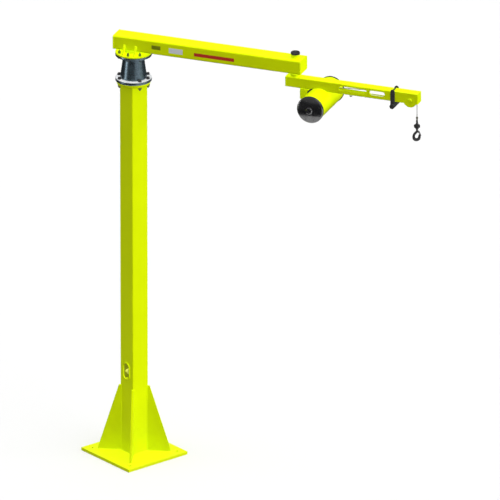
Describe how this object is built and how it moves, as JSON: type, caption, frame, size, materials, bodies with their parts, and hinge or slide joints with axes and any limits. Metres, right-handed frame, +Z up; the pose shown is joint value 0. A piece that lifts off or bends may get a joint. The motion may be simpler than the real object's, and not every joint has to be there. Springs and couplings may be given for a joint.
{
  "type": "articulating arm hoist",
  "caption": "Floor column with folding arms on an elbow pivot, an under-slung balancer barrel, and a rope over a tip sheave to a latched swivel hook.",
  "frame": {"origin": "on the floor under the base plate, on the column's centre line", "axes": "+Z up the column; +X along both arms at rest; +Y to the left looking out along the arms"},
  "size_m": [2.773, 0.806, 3.556],
  "materials": {
    "yellow_paint": "satin powder coat",
    "bearing_steel": "turned grey steel",
    "black_paint": "satin black coating",
    "black_rubber": "moulded, matte",
    "rope_steel": "galvanised strands",
    "plated_steel": "zinc plated",
    "hook_steel": "blackened forging"
  },
  "bodies": {
    "column": {"base_plate": "yellow_paint", "base_gussets": "yellow_paint", "column_tube": "yellow_paint", "hand_hole_frame": "yellow_paint", "inlet_shelf": "yellow_paint", "air_inlet": "yellow_paint", "column_top_plate": "yellow_paint", "bearing_flange": "bearing_steel", "bearing_housing": "bearing_steel"},
    "primary_arm": {"swivel_spindle": "bearing_steel", "arm_flange": "yellow_paint", "flange_ribs": "yellow_paint", "primary_tube": "yellow_paint", "primary_rear_cap": "yellow_paint", "primary_front_cap": "yellow_paint", "elbow_sleeve": "yellow_paint", "elbow_cap": "black_rubber"},
    "secondary_arm": {"elbow_pin": "plated_steel", "elbow_collar": "yellow_paint", "secondary_tube": "yellow_paint", "secondary_rear_cap": "yellow_paint", "head_cheek_front": "yellow_paint", "head_cheek_rear": "yellow_paint", "head_top_plate": "yellow_paint", "head_bottom_plate": "yellow_paint", "head_end_plate": "yellow_paint", "sheave_pin": "plated_steel", "balancer_barrel": "yellow_paint", "balancer_front_cover": "black_paint", "balancer_rear_cover": "black_paint", "balancer_hanger": "yellow_paint", "rope_outlet": "plated_steel", "rope_run": "rope_steel", "rope_drop": "rope_steel", "bumper_hangers": "black_paint", "bumper_tie": "black_paint", "bumper_roller": "black_rubber"},
    "sheave": {"sheave": "plated_steel"},
    "rope_end": {"rope_socket": "hook_steel", "swivel_body": "hook_steel"},
    "hook": {"hook": "hook_steel", "latch_pin": "plated_steel"},
    "latch": {"hook_latch": "hook_steel"}
  },
  "joints": [
    {"name": "primary_swing", "type": "hinge", "parent": "column", "child": "primary_arm", "pos_m": [0, 0, 3.342], "axis": [0, 0, 1], "continuous": true},
    {"name": "secondary_swing", "type": "hinge", "parent": "primary_arm", "child": "secondary_arm", "pos_m": [1.341, 0, 3.3805], "axis": [0, 0, 1], "range_deg": [-160, 160]},
    {"name": "hoist_lift", "type": "slide", "parent": "secondary_arm", "child": "rope_end", "axis": [0, 0, -1], "range_m": [0, 2], "deforming": ["rope_drop"]},
    {"name": "sheave_spin", "type": "hinge", "parent": "secondary_arm", "child": "sheave", "pos_m": [2.302, 0, 3.3], "axis": [0, 1, 0], "continuous": true},
    {"name": "hook_swivel", "type": "hinge", "parent": "rope_end", "child": "hook", "pos_m": [2.346, 0, 3.051], "axis": [0, 0, 1], "continuous": true},
    {"name": "latch_swing", "type": "hinge", "parent": "hook", "child": "latch", "pos_m": [2.3535, 0.01299, 3.031], "axis": [-0.866, 0.5, 0], "range_deg": [0, 45], "stiffness_Nm_per_rad": 0.06, "springref_deg": -20.05}
  ],
  "couplings": [
    {"joint": "sheave_spin", "follows": "hoist_lift", "rad_per_m": 22.727}
  ]
}
